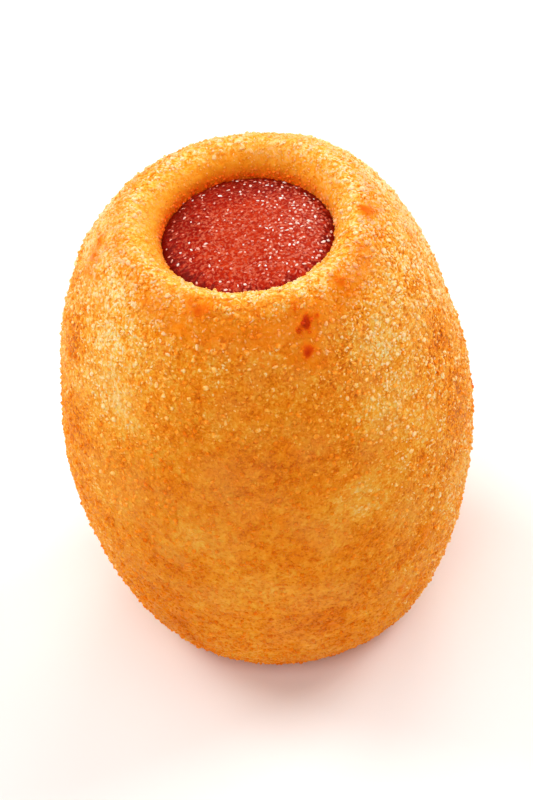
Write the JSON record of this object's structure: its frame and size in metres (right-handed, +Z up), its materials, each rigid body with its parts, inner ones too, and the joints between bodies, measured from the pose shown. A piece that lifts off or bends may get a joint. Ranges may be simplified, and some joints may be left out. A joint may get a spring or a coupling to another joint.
{
  "type": "sausage roll",
  "caption": "Fried sausage roll standing on its end: a fat barrel of crumbed dough round a short length of sausage whose domed cut ends sit just inside its rolled-in rims.",
  "frame": {"origin": "on the surface that the roll stands on, under the middle of its bounding box", "axes": "+Z up along the sausage, from the end it stands on to the end that shows"},
  "size_m": [0.0526, 0.0528, 0.0663],
  "materials": {
    "crust": "fried dough with a fine, dry crumb, golden at the rims and browner down the sides",
    "sausage": "moist cooked sausage meat, finely grained, with a dark red edge"
  },
  "bodies": {
    "root": {"dough": "crust", "sausage": "sausage"}
  },
  "joints": []
}
